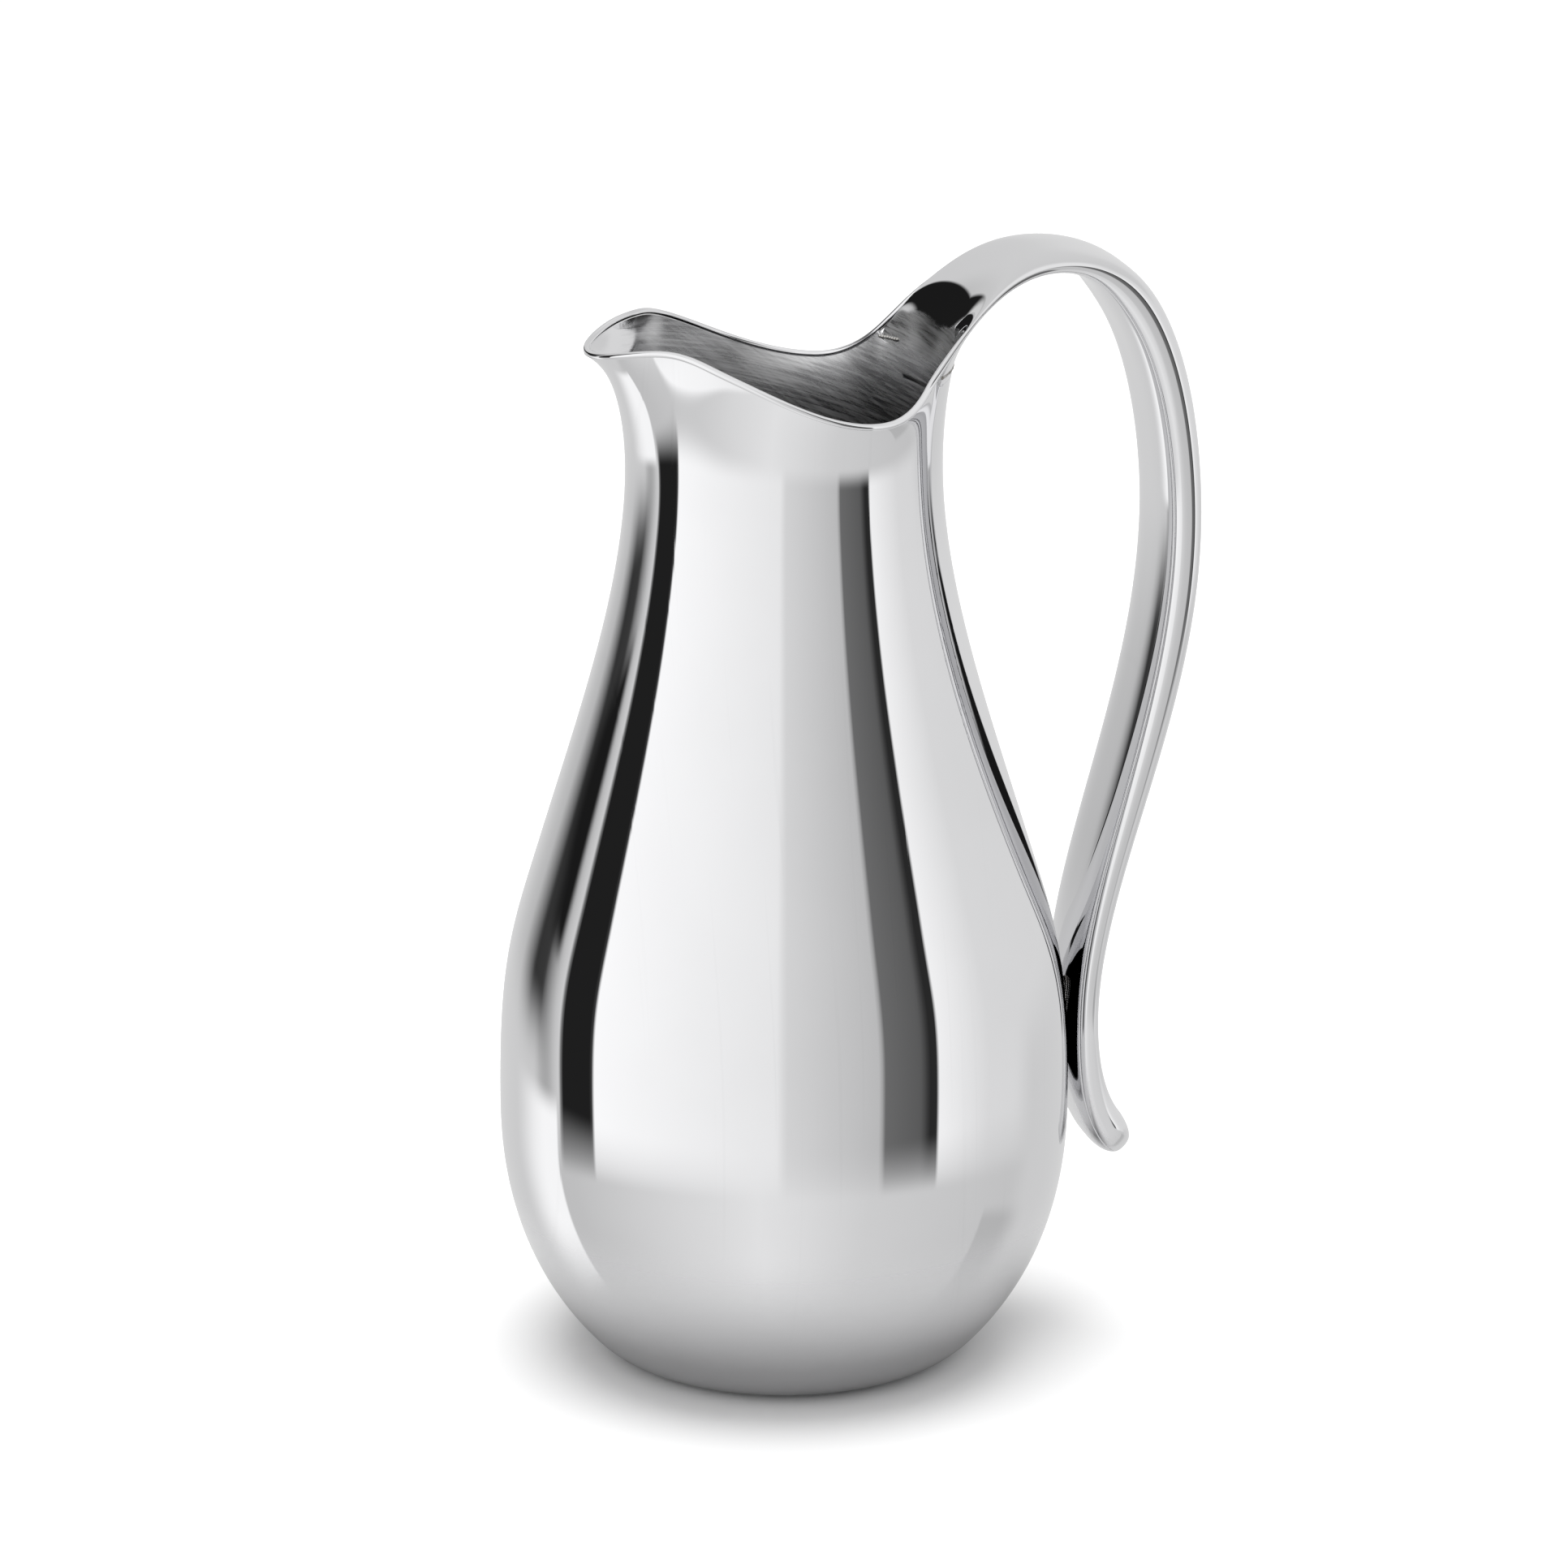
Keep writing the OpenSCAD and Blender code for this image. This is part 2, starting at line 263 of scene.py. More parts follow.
def made_by(tree, points, edges, name, attributes=None, **values):
    """Runs a tree on a plain mesh and keeps the result as a plain mesh in a new object."""
    mesh = bpy.data.meshes.new(name + "_start")
    mesh.from_pydata([tuple(map(float, p)) for p in points], edges, [])
    for label, numbers in (attributes or {}).items():
        mesh.attributes.new(label, "FLOAT", "POINT").data.foreach_set("value", np.array(numbers, float))
    maker = bpy.data.objects.new(name + "_maker", mesh)
    bpy.context.collection.objects.link(maker)
    modifier = maker.modifiers.new("rule", "NODES")
    modifier.node_group = tree
    sockets = {s.name: s.identifier for s in tree.interface.items_tree if s.in_out == "INPUT"}
    for label, value in values.items():
        modifier[sockets[label.replace("_", " ")]] = value
    bpy.context.view_layer.update()
    evaluated = maker.evaluated_get(bpy.context.evaluated_depsgraph_get())
    made = bpy.data.meshes.new_from_object(evaluated)
    made.name = name
    piece = bpy.data.objects.new(name, made)
    bpy.context.collection.objects.link(piece)
    maker.modifiers.remove(modifier)
    bpy.data.objects.remove(maker)
    print(name, "points:", len(made.vertices), "faces:", len(made.polygons))
    return piece


def chain_of(points):
    return [(i, i + 1) for i in range(len(points) - 1)]


# %% The wall's tree
def build_wall_tree():
    names = {"Steps around": "Int", "Mouth radius": "Float", "Lip reach": "Float", "Lip flank": "Float",
             "Pinch": "Float", "Tip height": "Float", "Shoulder height": "Float", "Dip height": "Float",
             "Root height": "Float", "Tuck": "Float", "Collar height": "Float", "Outside": "Material",
             "Inside": "Material"}
    tree, bench, given = node_group("Spun wall with a drawn lip", names)
    m = SimpleNamespace(radius=given["Mouth radius"], reach=given["Lip reach"], flank=given["Lip flank"],
                        pinch=given["Pinch"], tip=given["Tip height"], shoulder=given["Shoulder height"],
                        dip=given["Dip height"], root=given["Root height"], collar=given["Collar height"])
    rows = bench.add("GeometryNodeAttributeDomainSize", {"component": "MESH"}, {0: given["Geometry"]})
    columns = given["Steps around"]
    grid = bench.add("GeometryNodeMeshGrid", {}, {"Size X": 1, "Size Y": 1, "Vertices X": columns + 1,
                                                  "Vertices Y": rows})
    index = bench.add("GeometryNodeInputIndex")
    column = (index / rows + 1e-4).math("FLOOR")
    row = index - column * rows

    def looked_up(kind, value):
        settings = {"data_type": kind, "domain": "POINT"}
        return bench.add("GeometryNodeSampleIndex", settings,
                         {"Geometry": given["Geometry"], "Value": value, "Index": row})

    radius, _, height = bench.xyz(looked_up("FLOAT_VECTOR", bench.add("GeometryNodeInputPosition")))
    inner = bench.add("GeometryNodeInputNamedAttribute", {"data_type": "FLOAT"}, {"Name": "inner"})
    inner = looked_up("FLOAT", inner)
    turn = column * 360 / columns
    angle = 180 - abs(180 - turn)
    share = clamp((height - m.collar) / (m.root - m.collar))
    rim_z = rim_height(angle, m) - given["Tuck"] * ease(angle, 139.5, 143)
    new_z = height.math("MINIMUM", m.collar) + (rim_z - m.collar) * share
    rolled = share ** 3 * 0.5 + share ** 12 * 0.5
    new_r = radius - neck(height) + neck(new_z) + (rim_radius(angle, m) - neck(rim_z)) * rolled
    sine = (turn * math.radians(1)).math("SINE")
    place = bench.add("ShaderNodeCombineXYZ", {}, {0: new_r * cosine(turn) * -1, 1: new_r * sine, 2: new_z})
    body = bench.add("GeometryNodeStoreNamedAttribute", {"data_type": "FLOAT", "domain": "POINT"},
                     {"Geometry": grid, "Name": "inner", "Value": inner})
    body = bench.add("GeometryNodeSetPosition", {}, {"Geometry": body, "Position": place})
    body = bench.add("GeometryNodeMergeByDistance", {}, {"Geometry": body, "Distance": 1e-6})
    body = bench.add("GeometryNodeSetShadeSmooth", {}, {"Geometry": body})
    body = bench.add("GeometryNodeRealizeInstances", {}, {"Geometry": body})
    body = bench.add("GeometryNodeSetMaterial", {}, {"Geometry": body, "Material": given["Outside"]})
    stored = bench.add("GeometryNodeInputNamedAttribute", {"data_type": "FLOAT"}, {"Name": "inner"})
    body = bench.add("GeometryNodeSetMaterial", {}, {"Geometry": body, "Material": given["Inside"],
                                                     "Selection": stored.math("GREATER_THAN", 0.5)})
    close_group(tree, body)
    return tree


wall_tree = build_wall_tree()
print("wall tree nodes:", len(wall_tree.nodes))

# %% [markdown]
# ## Mirror finish
# The outside is buffed on soft wheels until it reflects the room, so its own colour hardly
# counts. What tells metal from a perfect mirror is small: buffing haze where the cloth pressed
# less, hair-fine wipe marks from washing, and a trace of waviness left by the spinning. Each is
# a noise here, stretched for the marks, and feeds only roughness, colour or a bump.

# %% Materials
def metal(name, colour, roughness):
    """A new metal material: returns (material, bench, object coordinates, shader node)."""
    material = bpy.data.materials.new(name)
    material.use_nodes = True
    material.node_tree.nodes.clear()
    bench = Bench(material.node_tree)
    shader = bench.add("ShaderNodeBsdfPrincipled", {}, {"Base Color": (*colour, 1), "Metallic": 1.0,
                                                        "Roughness": roughness})
    bench.add("ShaderNodeOutputMaterial", {}, {"Surface": shader})
    material.diffuse_color = (*colour, 1)
    return material, bench, bench.add("ShaderNodeTexCoord", out=3), shader.socket.node


def noise(bench, vector, scale, detail=3.0, rough=0.5):
    return bench.add("ShaderNodeTexNoise", {}, {"Vector": vector, "Scale": scale, "Detail": detail,
                                                "Roughness": rough})


def stretched(bench, vector, stretch, turn=(0, 0, 0)):
    return bench.add("ShaderNodeMapping", {}, {"Vector": vector, "Scale": stretch, "Rotation": turn})


def blended(bench, mask, first, second):
    """first where mask is 0, second where it is 1, as colours."""
    return bench.add("ShaderNodeMix", {"data_type": "RGBA"}, {0: mask, 6: (*first, 1), 7: (*second, 1)},
                     out=2)


def feed(bench, shader, **sockets):
    for name, value in sockets.items():
        bench.tree.links.new(value.socket, shader.inputs[name.replace("_", " ")])


def wipe_marks(bench, coords):
    """Thin, faint, nearly straight lines in three directions, from 0 to 1."""
    lines = 0
    for turn, width in (((0.3, 0.2, 0.5), 700), ((1.1, -0.4, 0.9), 900), ((-0.6, 0.9, -0.2), 800)):
        long_noise = noise(bench, stretched(bench, coords, (width, 9, 9), turn), 1.0, 1.0)
        lines = clamp((long_noise - 0.70) * 12) + lines
    return clamp(lines)


def mirror_metal(name, colour=(0.80, 0.80, 0.81)):
    material, bench, coords, shader = metal(name, colour, 0.04)
    haze = clamp((noise(bench, coords, 24, 4.0) - 0.42) * 4)
    marks = wipe_marks(bench, coords)
    wave = noise(bench, coords, 38, 1.0)
    feed(bench, shader, Roughness=haze * 0.014 + marks * 0.03 + 0.008,
         Base_Color=blended(bench, clamp(haze * 0.5 + marks * 0.3), colour, tuple(c * 0.955 for c in colour)),
         Normal=bench.add("ShaderNodeBump", {}, {"Strength": 0.10, "Distance": 0.0006,
                                                 "Height": wave * 0.35 + marks * 0.02}))
    return material


mirror = mirror_metal("mirror_polish")
print("mirror nodes:", len(mirror.node_tree.nodes))

# %% [markdown]
# ## Brushed inside
# The inside can't be reached by a buffing wheel, so it keeps the marks of an abrasive pad run
# round the neck: short, fine scratches, mostly level, some crossing at a slant. A noise squeezed
# thin in height and long around gives them. Direction around is taken from x and y divided by
# the radius, which has no seam, where an angle would jump at the back. The lip is buffed again.

# %% Inside of the wall
def brushed_inside():
    colour, bright = (0.58, 0.58, 0.585), (0.80, 0.80, 0.81)
    material, bench, coords, shader = metal("brushed_inside", colour, 0.3)
    x, y, z = bench.xyz(coords)
    radius = (x * x + y * y + 1e-9).math("SQRT")
    round_x, round_y = x / radius, y / radius

    def scratches(across, slant, seed):
        level = (z + round_x * slant + seed) * across
        return noise(bench, bench.add("ShaderNodeCombineXYZ", {}, {0: round_x * 2 + seed, 1: round_y * 2,
                                                                   2: level}), 1.0, 3.0, 0.6)

    fine, coarse = scratches(1900, 0.009, 0.0), scratches(500, 0.004, 3.0)
    crossing = scratches(1300, 0.026, 7.0)
    scratch = fine * 0.5 + coarse * 0.2 + crossing * 0.3
    cloud = clamp((noise(bench, coords, 45, 3.0) - 0.4) * 4)
    ragged = noise(bench, coords, 120, 2.0) * 0.004
    lip = clamp((abs(y) * 0.46 - x - 0.0335 + ragged) * 150) * clamp(x * -200)
    handle = (clamp((z - 0.2245 + ragged) * 900) * clamp(x * 200)).math("MAXIMUM", clamp((x - 0.045) * 500))
    buffed = lip.math("MAXIMUM", handle)
    worn = clamp((scratch - 0.42) * 6)
    darker = blended(bench, worn, tuple(c * 0.75 for c in colour), tuple(c * 1.3 for c in colour))
    mix = bench.add("ShaderNodeMix", {"data_type": "RGBA"}, {0: buffed, 6: darker, 7: (*bright, 1)}, out=2)
    brushing = (worn * 0.12 + cloud * 0.05 + 0.22) * (1 - buffed)
    feed(bench, shader, Base_Color=mix, Roughness=brushing + buffed * 0.015,
         Normal=bench.add("ShaderNodeBump", {}, {"Strength": 0.22, "Distance": 0.00008,
                                                 "Height": scratch * (1 - buffed)}))
    return material


brushed = brushed_inside()
body = made_by(wall_tree, [(r, 0, z) for r, z in outline], chain_of(outline), "body_wall",
               {"inner": np.arange(len(outline)) >= inner_from},
               Steps_around=216, Mouth_radius=mouth.radius, Lip_reach=mouth.reach,
               Lip_flank=float(mouth.flank), Pinch=mouth.pinch, Tip_height=mouth.tip,
               Shoulder_height=mouth.shoulder, Dip_height=mouth.dip, Root_height=mouth.root, Tuck=2 * mm,
               Collar_height=mouth.collar, Outside=mirror, Inside=brushed)

# %% Point the faces outwards
import bmesh


def face_outwards(piece):
    shell = bmesh.new()
    shell.from_mesh(piece.data)
    bmesh.ops.recalc_face_normals(shell, faces=shell.faces)
    if shell.calc_volume(signed=True) < 0:
        bmesh.ops.reverse_faces(shell, faces=shell.faces)
    open_edges = sum(1 for e in shell.edges if len(e.link_faces) != 2)
    volume = round(shell.calc_volume(signed=True) * 1e6, 2)
    print(piece.name, "volume cm3:", volume, "open edges:", open_edges)
    shell.to_mesh(piece.data)
    shell.free()


face_outwards(body)
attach(body, "root")
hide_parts("body_shell")

# %% [markdown]
# ## Handle
# The handle is two pressed strips joined along their edges into a hollow tube. It leaves the
# rim as wide and thin as the wall, narrows over the arch, fills out for the hand, rests on the
# belly and curls away into a round tip. Its middle line is a chain of four Bezier curves; the
# width, the thickness and the bend to the mouth's circle are rules along that line. Skins of
# many fine sections are lofted in Python, since width and thickness change apart.

# %% Middle line and sizes along it
seat_z, seat_h, grip_h, grip_w = 71.0, 3.3, 4.6, 13.4
belly_at_seat = float(np.interp(seat_z, raw[:, 1] / mm, raw[:, 0] / mm))
seat_x = belly_at_seat + 0.3 + seat_h
spring_x, arch_x, arch_z, grip_x, grip_z = 34.4, 56.5, 238.4, 84.8, 180.0
tip_x, tail_z = seat_x + 11.6, seat_z - 32.6
chain = [
    [[spring_x, 218], [spring_x + 2, 225.4], [arch_x - 14, arch_z], [arch_x, arch_z]],
    [[arch_x, arch_z], [arch_x + 25, arch_z], [grip_x, grip_z + 14.5], [grip_x, grip_z]],
    [[grip_x, grip_z], [grip_x, grip_z - 42], [seat_x, seat_z + 32], [seat_x, seat_z]],
    [[seat_x, seat_z], [seat_x, seat_z - 11], [tip_x - 9.6, tail_z + 6], [tip_x, tail_z]]]
arch_w, arch_h, root_w, root_h = 14.7, 1.8, spring_x * math.radians(40), 0.62


def half_width(s):
    free = arch_w + (root_w - arch_w) * clamp(1 - s) ** 1.5
    for start, (a, b) in enumerate(((arch_w, grip_w), (grip_w, 13.8), (13.8, 10.6)), start=1):
        free = np.where(s > start, a + (b - a) * ease(s, start, start + 1), free)
    return free


def half_thickness(s):
    thick = root_h + (arch_h - root_h) * ease(s, 0, 1)
    thick = np.where(s > 1, arch_h + (grip_h + 0.3 - arch_h) * ease(s, 1, 1.3), thick)
    thick = np.where(s > 1.3, grip_h + 0.3 - 0.3 * ease(s, 1.3, 2), thick)
    thick = np.where(s > 2, grip_h + (seat_h - grip_h) * ease(s, 2, 3), thick)
    return np.where(s > 3, seat_h + (4.7 - seat_h) * ease(s, 3, 4), thick)


t = np.linspace(0, 1, 121)
line = np.concatenate([np.c_[bezier(p, t), c + t][0 if c == 0 else 1:] for c, p in enumerate(chain)])
below = np.linspace(209, 218, 19)[:-1]
back = neck(below * mm) / mm - wall / mm / 2 + (rim_radius(180) - neck(mouth.root)) / mm * (below - 186) / 32
line = np.r_[np.c_[back, below, 0 * below], line]
line = averaged(spaced(line, 1.0), 24)
near_tip = 1 - np.array([0.5, 0.25, 0.1, 0.04, 0.01])[:, None]
line = np.r_[line[:-1], line[-2] + (line[-1] - line[-2]) * near_tip, line[-1:]]
middle, s = line[:, :2], line[:, 2]
width, thick = averaged(np.c_[half_width(s), half_thickness(s)], 24).T
thick = thick - 0.08 * clamp((215.5 - middle[:, 1]) / 6.5) * (s < 0.5)
bend = averaged(np.c_[np.maximum(1e-4, clamp(1 - s) ** 1.3 / spring_x), s], 10)[:, 0]
heading = np.gradient(middle, axis=0)
heading /= np.linalg.norm(heading, axis=1)[:, None]
side = np.stack([-heading[:, 1], heading[:, 0]], axis=1)
to_tip = clamp(np.linalg.norm(middle[-1] - middle, axis=1) / 8.5)
taper = np.where(s < 3.3, 1.0, np.maximum(0.04, np.sqrt(clamp(1 - (1 - to_tip) ** 2))))
print("handle length mm:", round(float(np.linalg.norm(np.diff(middle, axis=0), axis=1).sum()), 1))


# %% Skins of the two strips
def handle_points(turn, skin):
    """Points of every section at one angle round a squared-off ellipse, skin mm under its surface."""
    c, v = math.cos(turn), math.sin(turn)
    reach = (abs(c) ** 3 + abs(v) ** 3) ** (-1 / 3)
    skin = np.minimum(skin, 0.7 * thick * taper)
    across = (width * taper - skin) * reach * c
    out = (thick * taper - skin) * reach * v
    r = 1 / bend
    y = (r - out) * np.sin(across / r)
    n = r - (r - out) * np.cos(across / r)
    place = middle + n[:, None] * side
    return np.stack([place[:, 0], -y, place[:, 1]], axis=1) * mm


def strip(name, first, last, steps, finish):
    """One pressed strip of the tube as a closed solid, its long edges eased into a fine groove."""
    turns = np.linspace(math.radians(first), math.radians(last), steps)
    turns = np.r_[turns[0], turns[0] + math.radians(0.5), turns[0] + math.radians(1.2), turns[1:-1],
                  turns[-1] - math.radians(1.2), turns[-1] - math.radians(0.5), turns[-1]]
    edge = np.minimum(turns - turns[0], turns[-1] - turns)
    groove = 0.22 * clamp(1 - edge / math.radians(2.2)) ** 2
    loops = [handle_points(a, g) for a, g in zip(turns, groove)]
    loops += [handle_points(a, 0.8) for a in turns[::-1][::4]]
    points = np.stack(loops, axis=1)
    rings, around = points.shape[:2]
    number = np.arange(rings * around).reshape(rings, around)
    after = np.roll(number, -1, axis=1)
    faces = np.stack([number[:-1], after[:-1], after[1:], number[1:]], axis=-1).reshape(-1, 4).tolist()
    faces += [number[0].tolist()[::-1], number[-1].tolist()]
    mesh = bpy.data.meshes.new(name)
    mesh.from_pydata(points.reshape(-1, 3).tolist(), [], faces)
    mesh.polygons.foreach_set("use_smooth", [True] * len(faces))
    piece = bpy.data.objects.new(name, mesh)
    bpy.context.collection.objects.link(piece)
    piece.data.materials.append(finish)
    face_outwards(piece)
    return piece


seam = 33.3
outer_strip = strip("handle_outer_strip", -seam, 180 + seam, 96, brushed)
inner_strip = strip("handle_inner_strip", 180 + seam, 360 - seam, 56, mirror)
for piece, node in ((outer_strip, "handle_outer_shell"), (inner_strip, "handle_inner_shell")):
    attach(piece, "root")
    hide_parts(node)

# %% [markdown]
# ## Rim wire
# A round wire is bent to the edge of the mouth and soldered on, which stiffens the thin sheet
# and makes an edge that is kind to the lip. At the back its two ends run up the edges of the
# handle's root and are filed away to nothing, so that rim and handle read as one line. A curve
# with a bevel would do, but a tree that sweeps a circle along a path can take each point's
# thickness from an attribute, and the path itself comes from the rules above.

# %% Wire's path and tree
def wire_path():
    """Points of the wire and its thickness at each, from one edge of the handle to the other."""
    turn = np.linspace(-139.5, 139.5, 400)
    out, lift = rim_radius(abs(turn)) - wall / 2, rim_height(abs(turn)) + 0.45 * mm
    rim = np.stack([-out * np.cos(np.radians(turn)), out * np.sin(np.radians(turn)), lift], axis=1)
    climb = (s > 0.02) & (s < 0.46) & (middle[:, 1] > 218.4)
    near, far = handle_points(0, 0.25)[climb], handle_points(math.pi, 0.25)[climb]
    left = (near if near[0, 1] * rim[0, 1] > 0 else far)[::-1]
    path = averaged(np.r_[left, rim, left[::-1] * (1, -1, 1)], 10)
    ends = np.linspace(0.22, 1, len(left)) ** 0.8
    return path, np.r_[ends, np.ones(len(rim)), ends[::-1]]


def build_wire_tree():
    names = {"Wire diameter": "Float", "Finish": "Material"}
    tree, bench, given = node_group("Wire along a path", names)
    curve = bench.add("GeometryNodeMeshToCurve", {}, {"Mesh": given["Geometry"]})
    size = bench.add("GeometryNodeInputNamedAttribute", {"data_type": "FLOAT"}, {"Name": "size"})
    curve = bench.add("GeometryNodeSetCurveRadius", {}, {"Curve": curve, "Radius": size})
    circle = bench.add("GeometryNodeCurvePrimitiveCircle", {}, {"Resolution": 18,
                                                                "Radius": given["Wire diameter"] / 2})
    wire = bench.add("GeometryNodeCurveToMesh", {}, {"Curve": curve, "Profile Curve": circle,
                                                     "Fill Caps": True, "Scale": size})
    wire = bench.add("GeometryNodeSetShadeSmooth", {}, {"Geometry": wire})
    wire = bench.add("GeometryNodeRealizeInstances", {}, {"Geometry": wire})
    wire = bench.add("GeometryNodeSetMaterial", {}, {"Geometry": wire, "Material": given["Finish"]})
    close_group(tree, wire)
    return tree


path, size = wire_path()
wire = made_by(build_wire_tree(), path, chain_of(path), "rim_bead", {"size": size},
               Wire_diameter=1.5 * mm, Finish=mirror)
face_outwards(wire)
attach(wire, "root")
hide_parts("rim_wire")

# %% [markdown]
# ## Welds and braze
# Where the handle meets the rim and the belly, filler metal was laid drop by drop, and each drop
# froze as a small overlapping mound, left as laid where no wheel could reach. One tree
# places such mounds along any path: it steps along the path at an even pitch and sets down a
# small flattened ball, each a little different in size and tilt, with a fixed seed.

# %% Filler metal
def filler_metal():
    colour = (0.62, 0.61, 0.59)
    material, bench, coords, shader = metal("filler_as_laid", colour, 0.3)
    grain = noise(bench, coords, 1400, 4.0, 0.7)
    stain = clamp((noise(bench, coords, 260, 2.0) - 0.45) * 5)
    feed(bench, shader, Base_Color=blended(bench, stain, colour, (0.24, 0.22, 0.20)),
         Roughness=grain * 0.3 + stain * 0.18 + 0.14,
         Normal=bench.add("ShaderNodeBump", {}, {"Strength": 0.5, "Distance": 0.0001, "Height": grain}))
    return material


def build_bead_tree():
    names = {"Pitch": "Float", "Mound size": "Float", "Seed": "Int", "Finish": "Material"}
    tree, bench, given = node_group("Mounds of filler along a path", names)
    curve = bench.add("GeometryNodeMeshToCurve", {}, {"Mesh": given["Geometry"]})
    curve = bench.add("GeometryNodeResampleCurve", {"mode": "LENGTH"}, {"Curve": curve,
                                                                        "Length": given["Pitch"]})
    mound = bench.add("GeometryNodeMeshIcoSphere", {}, {"Radius": given["Mound size"], "Subdivisions": 2})
    tilt = bench.add("FunctionNodeRandomValue", {"data_type": "FLOAT_VECTOR"},
                     {0: (0, 0, 0), 1: (6.28, 6.28, 6.28), "Seed": given["Seed"]})
    size = bench.add("FunctionNodeRandomValue", {"data_type": "FLOAT_VECTOR"},
                     {0: (0.75, 0.8, 0.7), 1: (1.05, 1.1, 1.0), "Seed": given["Seed"] + 1})
    mounds = bench.add("GeometryNodeInstanceOnPoints", {}, {"Points": curve, "Instance": mound,
                                                            "Rotation": tilt, "Scale": size})
    mounds = bench.add("GeometryNodeRealizeInstances", {}, {"Geometry": mounds})
    mounds = bench.add("GeometryNodeSetShadeSmooth", {}, {"Geometry": mounds})
    mounds = bench.add("GeometryNodeSetMaterial", {}, {"Geometry": mounds, "Material": given["Finish"]})
    close_group(tree, mounds)
    return tree


def arc(radius, height, first, last, steps=40):
    """Points on a level arc about the body's axis, angles in degrees from +X."""
    a = np.radians(np.linspace(first, last, steps))
    return np.stack([radius * np.cos(a), radius * np.sin(a), np.full(steps, height)], axis=1) * mm


def oval(length, breadth, steps=24):
    """Points of an upright oval that lies against the belly under the handle."""
    a = np.linspace(0, 2 * np.pi, steps + 1)
    y, z = breadth / 2 * np.cos(a), seat_z + length / 2 * np.sin(a)
    return np.stack([np.full(steps + 1, belly_at_seat + 0.12) - y * y / 122, y, z], axis=1) * mm


filler, bead_tree = filler_metal(), build_bead_tree()
braze_path = np.concatenate([oval(l, b) for l, b in ((13.2, 6.2), (10.6, 4.4), (7.6, 2.8), (4, 1))])
laid = {"root_weld": (arc(35.15, 217.9, -35.5, 35.5, 90), 0.42, 0.4),
        "corner_weld_near": (arc(33.65, 217.0, -39, -31), 0.62, 0.62),
        "corner_weld_far": (arc(33.85, 217.0, 31, 39), 0.62, 0.5),
        "belly_braze": (braze_path, 0.5, 0.42)}
for seed, (node, (path, pitch, size)) in enumerate(laid.items()):
    bead = made_by(bead_tree, path, chain_of(path), node + "_mounds", Pitch=pitch * mm,
                   Mound_size=size * mm, Seed=seed * 10, Finish=filler)
    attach(bead, "root")
    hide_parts(node)

# %% [markdown]
# ## Base disc
# A flat disc closes the underside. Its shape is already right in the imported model, so it stays,
# and only gets a finish: it was faced on a lathe, which leaves fine rings round its middle,
# dulled by the table it stands on.

# %% Turned underside
def turned_base():
    colour = (0.62, 0.62, 0.63)
    material, bench, coords, shader = metal("turned_base", colour, 0.3)
    x, y, _ = bench.xyz(coords)
    radius = (x * x + y * y).math("SQRT")
    rings = noise(bench, bench.add("ShaderNodeCombineXYZ", {}, {0: radius * 3200}), 1.0, 3.0)
    worn = clamp((noise(bench, coords, 70, 4.0) - 0.45) * 4)
    feed(bench, shader, Base_Color=blended(bench, worn, colour, (0.50, 0.50, 0.51)),
         Roughness=rings * 0.22 + worn * 0.15 + 0.16,
         Normal=bench.add("ShaderNodeBump", {}, {"Strength": 0.3, "Distance": 0.0001, "Height": rings}))
    return material


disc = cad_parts["base_disc"]
disc.data.materials.clear()
disc.data.materials.append(turned_base())

# %% [markdown]
# ## Room, floor and camera
# A mirror shows its room, so the room is most of its look. A studio would stand a large white
# screen at the left and a smaller one at the right, with dark cards beside them to draw the
# stripes that give the shape its edges. Real panels could be modelled, but then each would have
# to be placed by trial in every reflection. Here the room is written as brightness by direction:
# how far round it lies from the camera's place, and how high above the horizon. Only the camera
# itself sees a plain white background. The floor catches the shadow, and reflections see a small
# patch of it in its stead, which fades out into the table's own grey.

# %% Camera
bearing, height, distance, look_at = math.radians(-14), math.radians(17.5), 1.5, 0.12583
lens = bpy.data.cameras.new("camera")
lens.lens, lens.sensor_width = 162.1, 36
lens.clip_start, lens.clip_end = 0.05, 30
camera = bpy.data.objects.new("camera", lens)
bpy.context.collection.objects.link(camera)
camera.location = (math.sin(bearing) * math.cos(height) * distance,
                   -math.cos(bearing) * math.cos(height) * distance,
                   look_at + math.sin(height) * distance)
camera.rotation_euler = (math.pi / 2 - height, 0, bearing)
bpy.context.scene.camera = camera
bpy.context.scene.view_settings.view_transform = "Standard"
print("camera at:", [round(v, 3) for v in camera.location])


# %% Room
def shade(level):
    """Light level for a display level from 0 to 255, allowing for what the metal absorbs."""
    v = level / 255
    return (v / 12.92 if v <= 0.04045 else ((v + 0.055) / 1.055) ** 2.4) / 0.80


panels = [  # what stands round the room, its two edges in degrees and its grey at each edge
    ("corner in shadow", -126, -117, 50, 55), ("bare wall", -106, -102, 190, 205),
    ("black card, left", -101, -83, 30, 30), ("white screen, left", -82, -3, 250, 230),
    ("grey screen, middle", 1, 39, 210, 185), ("grey card, right", 40, 56, 105, 90),
    ("black card, right", 60, 63.5, 40, 40), ("white screen, right", 64.5, 90, 240, 215)]
far_wall = 205
around = [(turn, grey) for _, first, last, one, two in panels for turn, grey in ((first, one), (last, two))]
around = [(-180, far_wall), (-140, 180)] + around + [(180, far_wall)]
world = bpy.data.worlds.new("room")
bpy.context.scene.world = world
world.use_nodes = True
world.node_tree.nodes.clear()
bench = Bench(world.node_tree)
x, y, z = bench.xyz(bench.add("ShaderNodeTexCoord", out=0))
towards = x * math.sin(bearing) - y * math.cos(bearing)
right = x * math.cos(bearing) + y * math.sin(bearing)
turn = right.math("ARCTAN2", towards) * (180 / math.pi)
rise = z.math("ARCSINE") * (180 / math.pi)
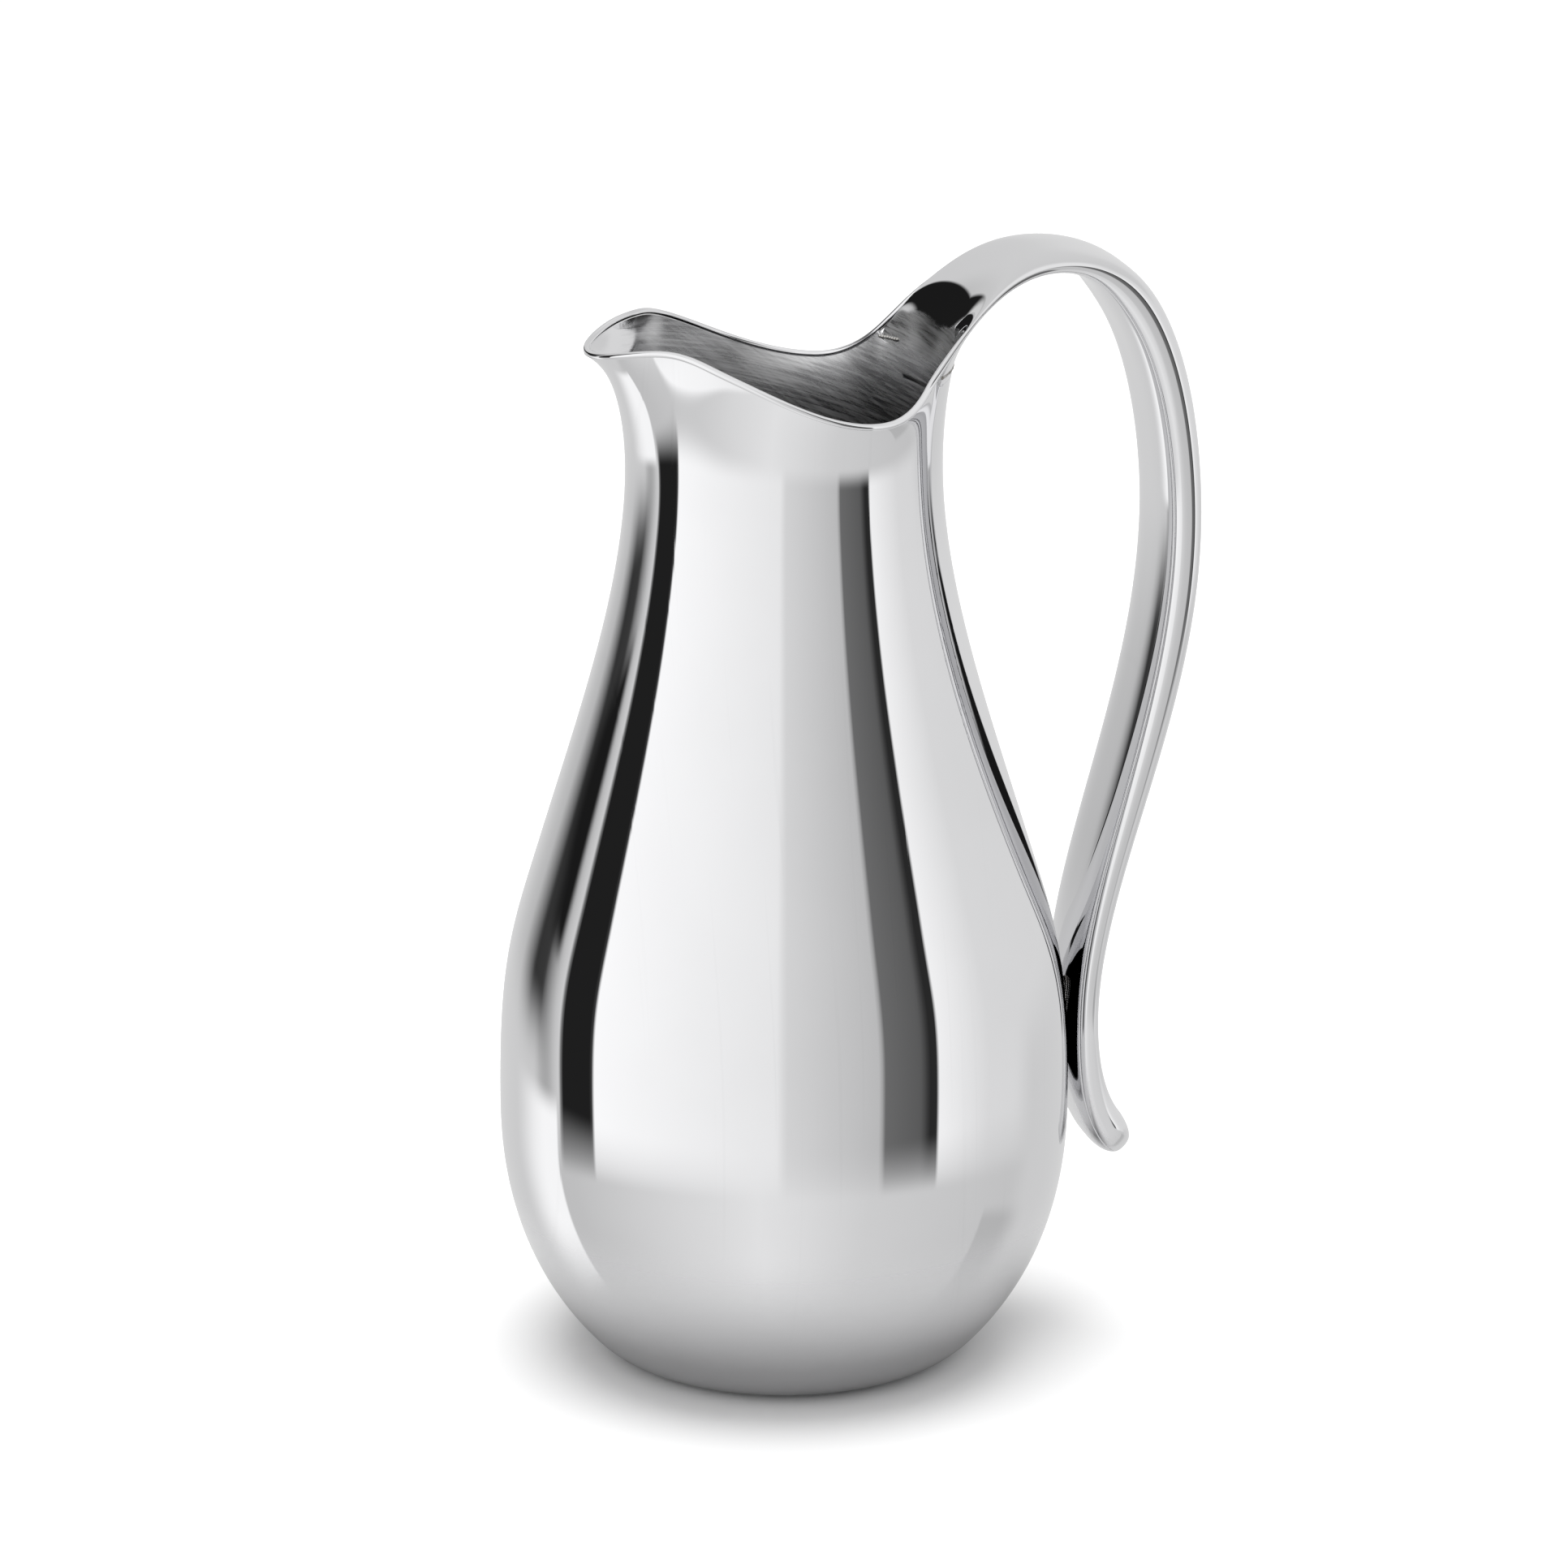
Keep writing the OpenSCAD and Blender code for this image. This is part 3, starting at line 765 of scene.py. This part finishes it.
room = bench.add("ShaderNodeValToRGB", {"stops": [((a + 180) / 360, shade(v)) for a, v in around]},
                 {0: turn / 360 + 0.5})
table = bench.add("ShaderNodeValToRGB", {"stops": [((a + 180) / 360, shade(v)) for a, v in (
    (-180, 180), (-95, 190), (-10, 225), (35, 205), (180, 180))]}, {0: turn / 360 + 0.5})
near_table = ease(rise, -17.5, -23)               # below this the table fills the reflection


def over(mask, level, display):
    """level where mask is 0 and an even grey of that display level where it is 1."""
    grey = (shade(display),) * 3 + (1,)
    return bench.add("ShaderNodeMix", {"data_type": "RGBA"}, {0: mask, 6: level, 7: grey}, out=2)


level = bench.add("ShaderNodeMix", {"data_type": "RGBA"}, {0: near_table, 6: room, 7: table}, out=2)
behind = ease(abs(turn), 104, 122)
eye_level = ease(rise, -18, -7) * ease(rise, 20, 8)
level = over(behind * (1 - eye_level), level, 200)
# Painted shade: a darker stretch of the table's grey, low down at the right, standing for shade that falls on
# the table
painted_table_shade = ease(turn, 92, 94) * ease(turn, 128, 106) * ease(rise, -27, -31) * 0.4
level = over(painted_table_shade, level, 150)
pale_strip = ease(turn, -140, -112) * ease(turn, -103, -105) * ease(rise, -17, -19) * ease(rise, -48, -40)
level = over(pale_strip, level, 245)
ceiling = ease(rise, 36, 60)
level = over(ceiling, level, 225)
top = clamp((turn + 152) / 30) * 24 + 8
leaning_card = ease(turn, -162, -158) * ease(turn, -107, -112) * ease(rise, -3, 0) * ease(top - rise, 0, 2)
level = over(leaning_card, level, 25)
straight = bench.add("ShaderNodeLightPath", out=0)
level = bench.add("ShaderNodeMix", {"data_type": "RGBA"}, {0: straight, 6: level, 7: (1, 1, 1, 1)}, out=2)
bench.add("ShaderNodeOutputWorld", {}, {"Surface": bench.add("ShaderNodeBackground", {}, {"Color": level})})
print("room nodes:", len(world.node_tree.nodes))

# %% Floor and lamp
floor_mesh = bpy.data.meshes.new("floor")
floor_mesh.from_pydata([(-4, -4, 0), (4, -4, 0), (4, 4, 0), (-4, 4, 0)], [], [(0, 1, 2, 3)])
floor = bpy.data.objects.new("floor", floor_mesh)
bpy.context.collection.objects.link(floor)
floor.visible_glossy = False
pale = bpy.data.materials.new("pale_floor")
pale.use_nodes = True
for name, value in (("Base Color", (0.93, 0.93, 0.93, 1)), ("Roughness", 0.9), ("Specular IOR Level", 0.0)):
    pale.node_tree.nodes["Principled BSDF"].inputs[name].default_value = value
floor_mesh.materials.append(pale)
floor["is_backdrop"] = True

patch_r, patch_z = 0.16, 0.0002
ring = np.linspace(0, 2 * np.pi, 65)[:-1]
patch_mesh = bpy.data.meshes.new("floor_patch")
patch_mesh.from_pydata([(patch_r * math.cos(a), patch_r * math.sin(a), patch_z) for a in ring], [],
                       [tuple(range(len(ring)))])
patch = bpy.data.objects.new("floor_patch", patch_mesh)
bpy.context.collection.objects.link(patch)
patch.visible_camera = patch.visible_diffuse = patch.visible_shadow = False
soft_edge = bpy.data.materials.new("patch_fading_out")
soft_edge.use_nodes = True
soft_edge.node_tree.nodes.clear()
bench = Bench(soft_edge.node_tree)
x, y, _ = bench.xyz(bench.add("ShaderNodeTexCoord", out=3))
fade = ease((x * x + y * y).math("SQRT"), 0.055, 0.115)
white = bench.add("ShaderNodeBsdfDiffuse", {}, {"Color": (0.56, 0.56, 0.56, 1)})
bench.add("ShaderNodeOutputMaterial", {}, {"Surface": bench.add("ShaderNodeMixShader", {}, {
    0: fade, 1: white, 2: bench.add("ShaderNodeBsdfTransparent")})})
patch_mesh.materials.append(soft_edge)
patch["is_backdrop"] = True

lamp_data = bpy.data.lights.new("overhead", "AREA")
lamp_data.shape, lamp_data.size, lamp_data.energy = "DISK", 1.6, 26
lamp = bpy.data.objects.new("overhead", lamp_data)
bpy.context.collection.objects.link(lamp)
lamp.location = (0, 0.1, 1.7)
lamp.visible_glossy = False
lamp.visible_camera = False

# %% Sizes of the imported and the made pieces
visual_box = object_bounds()
for name, box in (("cad", cad_box), ("visual", visual_box)):
    print(name, "box mm:", [[round(v / mm, 1) for v in corner] for corner in box])
